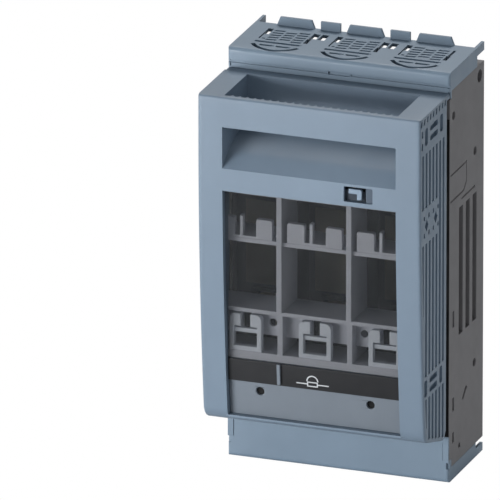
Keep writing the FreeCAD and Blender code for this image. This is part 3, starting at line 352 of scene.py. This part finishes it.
def solid_mesh(name, blocks):
    """One mesh of closed blocks, each a list of levels of points, from one end to the other."""
    points = []
    faces = []
    for levels in blocks:
        first = len(points)
        ring = len(levels[0])
        for level in levels:
            points.extend(at(*point) for point in level)
        for step in range(len(levels) - 1):
            for corner in range(ring):
                after = (corner + 1) % ring
                low = first + step * ring
                faces.append((low + corner, low + after, low + ring + after, low + ring + corner))
        faces.append(tuple(first + corner for corner in reversed(range(ring))))
        faces.append(tuple(first + (len(levels) - 1) * ring + corner for corner in range(ring)))
    mesh = bpy.data.meshes.new(name)
    mesh.from_pydata(points, [], faces)
    work = bmesh.new()
    work.from_mesh(mesh)
    bmesh.ops.recalc_face_normals(work, faces=work.faces)
    work.to_mesh(mesh)
    work.free()
    return mesh


def combined(mesh, other, operation):
    """The exact sum or difference of two closed meshes."""
    piece = bpy.data.objects.new("carved", mesh)
    tool = bpy.data.objects.new("tool", other)
    scene.collection.objects.link(piece)
    scene.collection.objects.link(tool)
    cut = piece.modifiers.new("cut", "BOOLEAN")
    cut.operation = operation
    cut.solver = "EXACT"
    cut.object = tool
    settle(piece)
    made = piece.data
    bpy.data.objects.remove(piece)
    bpy.data.objects.remove(tool)
    return made


# Sides of the carrier: smooth plates at the top, middle and foot, and upright grooves between them.
# A place here is a depth and a height, a span is its low and its high end, and a size is half the
# depth, half the height and, where there is a third number, the corner that is cut off.

SIDE = 53.0
PROUD = 0.004
SIDE_SKIN = 2.3
EDGE_ROUND = 1.2
ROUND_STEPS = 4
FRONT = 85.9
FRONT_STRAIGHT = 165.0
FRONT_SWEEP = 2500.0
FRONT_STEP = 3.0
CARRIER_TOP = 187.0
FOOT_ARC = (-71.27, 36.66, 8.0)
FOOT_TURN = (186.0, 58.0)
FOOT_STEPS = 6
FOOT_START = 35.8
HEEL = (-54.4, 23.6)
HEEL_RISE = 3.5
SIDE_REAR = -50.4
CUT_PAST = 1.0

GROOVES = 7
SPLIT_GROOVES = 5
GROOVE_START = 2.8
GROOVE_STEP = 4.55
GROOVE_WIDE = 2.3
GROOVE_LEAST = 0.35
GROOVE_MARGIN = 2.5
GROOVE_DEEP = 1.1
GROOVE_CUT = 4.0
GROOVE_FOOT = 33.6
GROOVE_SLANT = 0.3
TOP_PLATE = 169.0
MIDDLE_PLATE = (126.0, 143.0)
FOOT_PLATE = (51.3, 62.1)

HOLE_DEEP = 1.6
NOTCHES = 9
NOTCH_FIRST = -84.0
NOTCH_PITCH = 3.95
NOTCH = ((-1.2, 183.0), (0.6, 183.4), (1.2, 185.9), (-0.5, 185.9))
SLOT_SPANS = ((172.7, 181.0), (52.6, 60.6))
SLOT_DEPTHS = (-77.6, -57.4)
SLOT_WIDE = 1.9
SLOT_CORNER = 0.9
PAIR_DEPTH = -67.5
PAIR_GAP = 0.25
PAIR_SIZE = (5.0, 1.35, 0.6)
EDGE_SLOTS = ((-83.0, 173.6), (-83.0, 179.4))
EDGE_SLOT_SIZE = (0.9, 1.7, 0.4)
DIAMONDS = ((-77.0, 134.5), (-64.9, 134.5))
DIAMOND_SIZE = (2.3, 3.0)
DOT_REACH = (3.1, 4.1)
DOT_SIZE = (0.85, 1.1, 0.3)


def swept_front(up):
    """Depth of the carrier's front face at a height."""
    return -FRONT + max(0.0, FRONT_STRAIGHT - up) ** 2 / FRONT_SWEEP


def side_outline(inset):
    """The carrier's outline seen from the side, its front edge drawn back by an inset."""
    points = []
    for step in range(ROUND_STEPS + 1):
        angle = math.radians(90.0 * step / ROUND_STEPS)
        points.append((-FRONT + EDGE_ROUND - EDGE_ROUND * math.sin(angle) + inset,
                       CARRIER_TOP - EDGE_ROUND + EDGE_ROUND * math.cos(angle) + PROUD))
    up = FRONT_STRAIGHT
    while up > FOOT_START:
        points.append((swept_front(up) + inset, up))
        up -= FRONT_STEP
    depth, height, radius = FOOT_ARC
    radius -= max(0.0, inset)
    start, turn = FOOT_TURN
    for step in range(FOOT_STEPS + 1):
        angle = math.radians(start + turn * step / FOOT_STEPS)
        points.append((depth + radius * math.cos(angle), height + radius * math.sin(angle)))
    points.append(HEEL)
    points.append((SIDE_REAR, HEEL[1] + HEEL_RISE))
    points.append((SIDE_REAR, CARRIER_TOP + PROUD))
    return points


def side_skin(side):
    """A closed skin over one side, with the front edge rounded."""
    levels = [(SIDE - SIDE_SKIN, -PROUD), (SIDE - EDGE_ROUND, -PROUD)]
    for step in range(1, ROUND_STEPS + 1):
        angle = math.radians(90.0 * step / ROUND_STEPS)
        levels.append((SIDE - EDGE_ROUND + (EDGE_ROUND + PROUD) * math.sin(angle),
                       EDGE_ROUND - (EDGE_ROUND + PROUD) * math.cos(angle)))
    return [[(side * across, depth, up) for depth, up in side_outline(inset)]
            for across, inset in levels]


def side_cut(side, outline, deep):
    """A cutter into one side with an outline of depths and heights."""
    return [[(side * across, depth, up) for depth, up in outline]
            for across in (SIDE - deep, SIDE + CUT_PAST)]


def diamond(depth, up, wide, tall):
    """A square stood on its corner."""
    return [(depth - wide, up), (depth, up - tall), (depth + wide, up), (depth, up + tall)]


def lozenge(depth, up, wide, tall, corner):
    """A rectangle with its corners cut off."""
    return [(depth - wide, up - tall + corner), (depth - wide + corner, up - tall),
            (depth + wide - corner, up - tall), (depth + wide, up - tall + corner),
            (depth + wide, up + tall - corner), (depth + wide - corner, up + tall),
            (depth - wide + corner, up + tall), (depth - wide, up + tall - corner)]


def side_grooves(side):
    """The upright grooves of one side, which stay behind the swept front edge."""
    cuts = []
    for row in range(GROOVES):
        front = GROOVE_START + row * GROOVE_STEP - FRONT
        rear = front + GROOVE_WIDE
        if row < SPLIT_GROOVES:
            spans = [(FOOT_PLATE[1], MIDDLE_PLATE[0]), (MIDDLE_PLATE[1], TOP_PLATE)]
        else:
            spans = [(FOOT_PLATE[1], TOP_PLATE)]
        foot = GROOVE_FOOT - GROOVE_SLANT * row * GROOVE_STEP
        spans.append((foot, FOOT_PLATE[0]))
        for low, high in spans:
            steps = max(1, int((high - low) / GROOVE_CUT))
            levels = [low + (high - low) * step / steps for step in range(steps + 1)]
            edge = [(max(front, swept_front(up) + GROOVE_MARGIN), up) for up in levels]
            edge = [(depth, up) for depth, up in edge if rear - depth > GROOVE_LEAST]
            if len(edge) < 2:
                continue
            outline = edge + [(rear, edge[-1][1]), (rear, edge[0][1])]
            cuts.append(side_cut(side, outline, GROOVE_DEEP))
    return cuts


def plate_marks(side):
    """The comb below the top edge, the slots of the top and foot plates and the middle pattern."""
    marks = []
    for notch in range(NOTCHES):
        depth = NOTCH_FIRST + notch * NOTCH_PITCH
        marks.append([(depth + shift, up) for shift, up in NOTCH])
    for low, high in SLOT_SPANS:
        middle, tall = (low + high) / 2, (high - low) / 2
        marks += [lozenge(depth, middle, SLOT_WIDE, tall, SLOT_CORNER) for depth in SLOT_DEPTHS]
        marks += [lozenge(PAIR_DEPTH, up, *PAIR_SIZE)
                  for up in (middle - tall / 2 - PAIR_GAP, middle + tall / 2 + PAIR_GAP)]
    marks += [lozenge(*place, *EDGE_SLOT_SIZE) for place in EDGE_SLOTS]
    for depth, up in DIAMONDS:
        marks.append(diamond(depth, up, *DIAMOND_SIZE))
        marks += [lozenge(depth + aside * DOT_REACH[0], up + rise * DOT_REACH[1], *DOT_SIZE)
                  for aside in (-1, 1) for rise in (-1, 1)]
    return [side_cut(side, mark, HOLE_DEEP) for mark in marks]


def carve_carrier(mesh):
    """The carrier with both sides filled in and cut afresh."""
    mesh = combined(mesh, solid_mesh("skins", [side_skin(1), side_skin(-1)]), "UNION")
    cuts = []
    for side in (1, -1):
        cuts += side_grooves(side) + plate_marks(side)
    return combined(mesh, solid_mesh("cuts", cuts), "DIFFERENCE")


# Break-out flaps of the top cover: louvres, hinge lines, dashes and crescents. A box here is the
# left, right, front and rear of a shape, measured across from the middle of its pole.

COVER_TOP = 196.5
POLES = (-33.3, 0.0, 33.3)
FLAP = (-7.9, 10.2, -33.0, -16.9)
FLAP_FILL = 1.25
FLAP_FLOOR = 0.15
THROUGH = 3.0
SIDE_NICK = (10.5, 12.4, -30.6, -24.6)
REAR_GAP = (11.3, 14.2, -23.6, -16.9)
FLAP_LINES = ((-11.2, 10.0, -35.2, -33.3), (-7.4, -1.8, -39.4, -37.6), (0.4, 6.2, -39.4, -37.6))
CRESCENT_DEPTH = -31.6
CRESCENT_RADII = (13.5, 11.5)
CRESCENT_TURN = (210.0, 120.0)
CRESCENT_STEPS = 18
LOUVRE_ROWS = 5
LOUVRE_FIRST = -18.3
LOUVRE_LAST = -31.2
LOUVRE_PITCH = 3.1
LOUVRE_SHIFTS = (0.0, 1.5, 0.0)
LOUVRE_MIDDLES = (-4.7, 1.2, 7.1)
LOUVRE = ((-2.7, -0.95), (2.3, -0.6), (2.7, 0.95), (-2.3, 0.6))

# The seam under the lip at the cover's front, broken by the slot of its latch.

COVER_FRONT = -45.9
SEAM = (189.2, 190.1)
SEAM_DEEP = 0.6
LATCH_SLOT = (-5.6, 5.6, 188.9, 190.4)
LATCH_INSET = 0.4
LATCH_DEEP = 0.85


def upright(outline, low, high):
    """A block with an outline seen from above, between two heights."""
    return [[(across, depth, up) for across, depth in outline] for up in (low, high)]


def flat_box(left, right, front, rear):
    """Corners of a rectangle seen from above."""
    return [(left, front), (right, front), (right, rear), (left, rear)]


def pole_box(pole, box):
    """Corners of a box that is measured from the middle of a pole."""
    left, right, front, rear = box
    return flat_box(pole + left, pole + right, front, rear)


def crescent(pole):
    """The curved slot round the front of one flap."""
    start, turn = CRESCENT_TURN
    edges = []
    for radius in CRESCENT_RADII:
        angles = [math.radians(start + turn * step / CRESCENT_STEPS) for step in range(CRESCENT_STEPS + 1)]
        edges.append([(pole + radius * math.cos(angle), CRESCENT_DEPTH + radius * math.sin(angle))
                      for angle in angles])
    outer, inner = edges
    return outer + inner[::-1]


def louvres(pole):
    """Outlines of the slanted louvres of one flap."""
    outlines = []
    for column, shift in zip(LOUVRE_MIDDLES, LOUVRE_SHIFTS):
        for row in range(LOUVRE_ROWS):
            middle = LOUVRE_FIRST - LOUVRE_PITCH * row - shift
            if middle >= LOUVRE_LAST:
                outlines.append([(pole + column + aside, middle + back) for aside, back in LOUVRE])
    return outlines


def cover_seam():
    """Cutters for the seam on both sides of the latch, and for the latch's slot."""
    left, right, low, high = LATCH_SLOT
    outer = SIDE + CUT_PAST
    front = COVER_FRONT - CUT_PAST
    slot = flat_box(left + LATCH_INSET, right - LATCH_INSET, front, COVER_FRONT + LATCH_DEEP)
    return [upright(flat_box(-outer, left, front, COVER_FRONT + SEAM_DEEP), *SEAM),
            upright(slot, low, high),
            upright(flat_box(right, outer, front, COVER_FRONT + SEAM_DEEP), *SEAM)]


def carve_cover(mesh):
    """The top cover with its flaps filled in and cut afresh, and the seam along its front."""
    fills = []
    cuts = []
    above = COVER_TOP + CUT_PAST
    for pole in POLES:
        fills.append(upright(pole_box(pole, FLAP), COVER_TOP - FLAP_FILL, COVER_TOP + PROUD))
        deep = [crescent(pole), pole_box(pole, SIDE_NICK)]
        if pole < POLES[-1]:
            deep.append(pole_box(pole, REAR_GAP))
        cuts += [upright(outline, COVER_TOP - THROUGH, above) for outline in deep]
        shallow = [pole_box(pole, box) for box in FLAP_LINES] + louvres(pole)
        cuts += [upright(outline, COVER_TOP - FLAP_FILL + FLAP_FLOOR, above) for outline in shallow]
    mesh = combined(mesh, solid_mesh("fills", fills), "UNION")
    mesh = combined(mesh, solid_mesh("cuts", cuts), "DIFFERENCE")
    return combined(mesh, solid_mesh("seam", cover_seam()), "DIFFERENCE")


RESHAPE = {"carrier_frame": carve_carrier, "top_terminal_cover": carve_cover}


# Shells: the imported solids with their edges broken, as a mould leaves them.

WELD = 1e-6
SHARP = math.radians(30.0)
LEVER_ROOT = 83.6
STRIP_INSET = 2.4
FLAT = math.radians(0.03)
BEVEL_SEGMENTS = 2
CUT_STEP = 6.0
CUT_CLEAR = 0.3
CUT_NUDGE = 0.1
CUT_TOLERANCE = 1e-8


def cut_up(work):
    """Cut the large faces along planes that stay clear of every corner, so that none is ragged."""
    for axis in range(3):
        levels = sorted({round(vert.co[axis] / MM, 3) for vert in work.verts})
        direction = Vector([1.0 if index == axis else 0.0 for index in range(3)])
        place = levels[0] + CUT_STEP
        while place < levels[-1] - CUT_CLEAR:
            near = min(abs(level - place) for level in levels)
            if near >= CUT_CLEAR:
                everything = work.verts[:] + work.edges[:] + work.faces[:]
                bmesh.ops.bisect_plane(work, geom=everything, dist=CUT_TOLERANCE,
                                       plane_co=direction * place * MM, plane_no=direction)
                place += CUT_STEP
            else:
                place += CUT_NUDGE


def soften(node, width):
    """A copy of a node, carved where it has to be and with small rounded edges, which stands for it."""
    mesh = frame["nodes"][node].data.copy()
    if "custom_normal" in mesh.attributes:
        mesh.attributes.remove(mesh.attributes["custom_normal"])
    work = bmesh.new()
    work.from_mesh(mesh)
    bmesh.ops.remove_doubles(work, verts=work.verts, dist=WELD)
    if node in RESHAPE:
        work.to_mesh(mesh)
        work.free()
        mesh = RESHAPE[node](mesh)
        work = bmesh.new()
        work.from_mesh(mesh)
        bmesh.ops.remove_doubles(work, verts=work.verts, dist=WELD)
    bmesh.ops.dissolve_limit(work, angle_limit=FLAT, verts=work.verts, edges=work.edges)
    cut_up(work)
    bmesh.ops.triangulate(work, faces=work.faces, quad_method="BEAUTY", ngon_method="BEAUTY")
    for face in work.faces:
        face.smooth = True
    if width == 0.0:
        for edge in work.edges:
            edge.smooth = edge.calc_face_angle(0.0) < SHARP
    work.to_mesh(mesh)
    work.free()
    shell = bpy.data.objects.new(node + "_shell", mesh)
    scene.collection.objects.link(shell)
    if width == 0.0:
        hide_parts(node)
        return shell
    bevel = shell.modifiers.new("edges", "BEVEL")
    bevel.width = width * MM
    bevel.segments = BEVEL_SEGMENTS
    bevel.limit_method = "ANGLE"
    bevel.angle_limit = SHARP
    bevel.use_clamp_overlap = False
    bevel.miter_outer = "MITER_ARC"
    weights = shell.modifiers.new("normals", "WEIGHTED_NORMAL")
    weights.mode = "FACE_AREA"
    weights.weight = 60
    settle(shell)
    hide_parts(node)
    return shell


def settle(piece):
    """Apply a piece's modifiers to its mesh."""
    bpy.context.view_layer.update()
    depsgraph = bpy.context.evaluated_depsgraph_get()
    made = bpy.data.meshes.new_from_object(piece.evaluated_get(depsgraph), depsgraph=depsgraph)
    piece.modifiers.clear()
    old = piece.data
    piece.data = made
    bpy.data.meshes.remove(old)


def finish_piece(piece, slot, materials, body):
    """Give a piece its material and the body that it rides on."""
    piece.data.materials.clear()
    piece.data.materials.append(materials[slot])
    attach(piece, body)


SHELLS = {
    "base_housing": 0.15, "contact_shroud": 0.2, "top_terminal_cover": 0.0, "bottom_terminal_cover": 0.2,
    "carrier_frame": 0.0, "window_pane": 0.12, "lower_panel": 0.2, "label_strip": 0.12, "fuse_holder": 0.12,
    "lock_slider": 0.12, "lock_stop": 0.12,
    "lower_gripper_1": 0.2, "lower_gripper_2": 0.2, "lower_gripper_3": 0.2,
    "upper_gripper_1": 0.2, "upper_gripper_2": 0.2, "upper_gripper_3": 0.2,
}


def slot_of(node):
    """The record's material slot of a node."""
    return next(entry["material_slot"] for entry in frame["record"]["subparts"] if entry["node"] == node)


def darken_plate(shell, materials):
    """The plate behind the lock lever is deep in shadow, so its faces get painted shade."""
    shell.data.materials.append(materials["recess_painted_shade"])
    for face in shell.data.polygons:
        if face.center.y > -LEVER_ROOT * MM:
            face.material_index = 1


def dress(materials):
    """Shells where edges are seen, and better materials on every other node."""
    for node, item in frame["nodes"].items():
        if node in SHELLS:
            shell = soften(node, SHELLS[node])
            finish_piece(shell, slot_of(node), materials, BODY_OF[node])
            if node == "lock_slider":
                darken_plate(shell, materials)
            if node == "lock_stop":
                # The lock stop gets a darker blue than the carrier, as painted shade of the recess.
                shell.data.materials[0] = materials["cheek_painted_shade"]
            if node.startswith("lower_gripper"):
                shell.data.materials[0] = materials["gripper_plastic"]
            continue
        for place in item.material_slots:
            place.material = materials[slot_of(node)]


# Small extra pieces. The numbers of a box are its left, right, front, rear, bottom and top, or only
# the last four of them.

STROKE = 0.55
MARK_RISE = 0.06
MARK_ROOT = 0.1
SYMBOL = (-3.4, 1.8, 50.9, 53.4)
LEADS = ((-8.5, -3.4), (1.8, 7.0))
LEAD_HEIGHT = 51.9
ARC_MIDDLE = (-0.8, 53.6)
ARC_RADII = (2.3, 2.9)
ARC_STEPS = 10
DIVIDER = (-17.4, -15.9, 50.3, 60.2)
DIVIDER_RISE = 1.2

# A near-black sheet of painted shade behind each side's vents.
VENT_WALL = SIDE - 1.8
VENT_SHADE_SHEET = 0.1
VENT_BOX = (-45.0, -4.0, 12.0, 186.0)
# Near-black strips of painted shade in the gap between the carrier and the base's front edge.
GAP_SHADE_SPAN = (SIDE - 2.5, SIDE - 0.05)
GAP_SHADE_BOX = (-46.65, -46.0, 22.5, 174.5)
CHEEK_SPAN = (SIDE - 2.7, SIDE)
CHEEK_BOX = (-46.65, -45.6, 10.0, 22.4)
RIM_SPAN = (41.3, 42.3)
RIM_BOX = (-78.1, -73.7, 32.0, 60.0)
SILL_BOX = (-78.1, -73.7, 31.6, 32.6)
# Near-black discs of painted shade behind the test holes.
TEST_HOLES = ((-26.4, 45.2), (26.4, 45.2))
TEST_HOLE_RADIUS = 2.3
TEST_HOLE_STEPS = 24
TEST_HOLE_DEPTHS = (-75.5, -75.4)
# Thin near-black plates of painted shade in the gap behind each pole's blade.
BLADE_GAP_HALF = 2.2
BLADE_GAP_BOX = (-72.62, -72.45, 72.6, 83.2)
# Brown plates in the bays, darkened as painted shade of the deep bays.
BAY_HALF = 12.4
BAY_BOX = (-42.75, -42.3, 83.6, 123.6)

TEETH = 22
TOOTH_FIRST = -37.8
TOOTH_PITCH = 3.6
TOOTH_HALF = 1.3
TOOTH_ROOT = -83.1
TOOTH_TIP = -80.9
TOOTH_SPAN = (174.0, 186.75)


def box_blocks(*boxes):
    """Closed boxes."""
    return [upright(flat_box(left, right, front, rear), low, high)
            for left, right, front, rear, low, high in boxes]


def both_sides(span, box):
    """A box at the right side, from its inner and outer widths, and its mirror image at the left."""
    inner, outer = span
    return box_blocks((inner, outer, *box), (-outer, -inner, *box))


def at_poles(half, box):
    """The same box in front of each pole."""
    return box_blocks(*[(pole - half, pole + half, *box) for pole in POLES])


def add_piece(name, blocks, slot, materials, body):
    """A piece of closed blocks with a material, riding on a body."""
    piece = bpy.data.objects.new(name, solid_mesh(name, blocks))
    scene.collection.objects.link(piece)
    finish_piece(piece, slot, materials, body)
    return piece


def on_strip(up, rise):
    """Depth of a point just in front of the curved black strip."""
    return swept_front(up) + STRIP_INSET - rise


def strip_block(outline, rise=MARK_RISE):
    """A thin raised mark on the strip with an outline of widths and heights."""
    return [[(across, on_strip(up, lift), up) for across, up in outline] for lift in (-MARK_ROOT, rise)]


def mark_bar(left, right, low, high):
    """Corners of a bar seen from the front."""
    return [(left, low), (right, low), (right, high), (left, high)]


def add_marks(materials):
    """A generic diagram of a fused switch on the strip, and the short divider beside it."""
    left, right, low, high = SYMBOL
    outlines = [mark_bar(*lead, LEAD_HEIGHT, LEAD_HEIGHT + STROKE) for lead in LEADS]
    outlines += [mark_bar(left, left + STROKE, low, high), mark_bar(right - STROKE, right, low, high),
                 mark_bar(left, right, low, low + STROKE), mark_bar(left, right, high - STROKE, high)]
    across, up = ARC_MIDDLE
    near, far = ARC_RADII
    for step in range(ARC_STEPS):
        start, end = [math.radians(180.0 * part / ARC_STEPS) for part in (step, step + 1)]
        outlines.append([(across + reach * math.cos(turn), up + reach * math.sin(turn))
                         for reach, turn in ((near, start), (far, start), (far, end), (near, end))])
    blocks = [strip_block(outline) for outline in outlines]
    add_piece("strip_diagram", blocks, "print_white", materials, "carrier")
    divider = [strip_block(mark_bar(*DIVIDER), DIVIDER_RISE)]
    add_piece("strip_divider", divider, "panel_plastic", materials, "carrier")


def add_shadows(materials):
    """Painted shade: near-black sheets behind the vents, round the base's front edge, behind the test holes
    and in the blade gaps, and darkened brown plates in the bays; also cover-coloured cheeks and rims of the
    window opening.
    """
    vents = both_sides((VENT_WALL - VENT_SHADE_SHEET, VENT_WALL), VENT_BOX)
    add_piece("vent_shade_sheets", vents, "gap_painted_shade", materials, "base")
    # painted shade in the gap round the base's front edge
    add_piece("front_gap_shade", both_sides(GAP_SHADE_SPAN, GAP_SHADE_BOX), "gap_painted_shade", materials, "base")
    add_piece("cover_cheeks", both_sides(CHEEK_SPAN, CHEEK_BOX), "cover_plastic", materials, "base")
    rims = both_sides(RIM_SPAN, RIM_BOX) + box_blocks((-RIM_SPAN[0], RIM_SPAN[0], *SILL_BOX))
    add_piece("window_rims", rims, "carrier_plastic", materials, "carrier")
    discs = []
    for across, up in TEST_HOLES:
        turns = [math.radians(360.0 * step / TEST_HOLE_STEPS) for step in range(TEST_HOLE_STEPS)]
        outline = [(across + TEST_HOLE_RADIUS * math.cos(turn), up + TEST_HOLE_RADIUS * math.sin(turn))
                   for turn in turns]
        discs.append([[(side, depth, rise) for side, rise in outline] for depth in TEST_HOLE_DEPTHS])
    add_piece("test_hole_shade_discs", discs, "gap_painted_shade", materials, "carrier")
    gaps = at_poles(BLADE_GAP_HALF, BLADE_GAP_BOX)
    add_piece("blade_gap_shade", gaps, "gap_painted_shade", materials, "carrier")
    add_piece("bay_shade_plates", at_poles(BAY_HALF, BAY_BOX), "bay_brown_and_shade", materials, "base")


def add_grip_teeth(materials):
    """Pointed ribs on the hidden face of the handle bar, whose tops show along its edge."""
    teeth = []
    for tooth in range(TEETH):
        middle = TOOTH_FIRST + TOOTH_PITCH * tooth
        outline = [(middle - TOOTH_HALF, TOOTH_ROOT), (middle + TOOTH_HALF, TOOTH_ROOT), (middle, TOOTH_TIP)]
        teeth.append(upright(outline, *TOOTH_SPAN))
    add_piece("grip_teeth", teeth, "carrier_plastic", materials, "carrier")


add_camera()
add_lights()
add_surroundings()
scene.view_settings.view_transform = "Standard"
finishes = make_materials()
dress(finishes)
add_marks(finishes)
add_shadows(finishes)
add_grip_teeth(finishes)
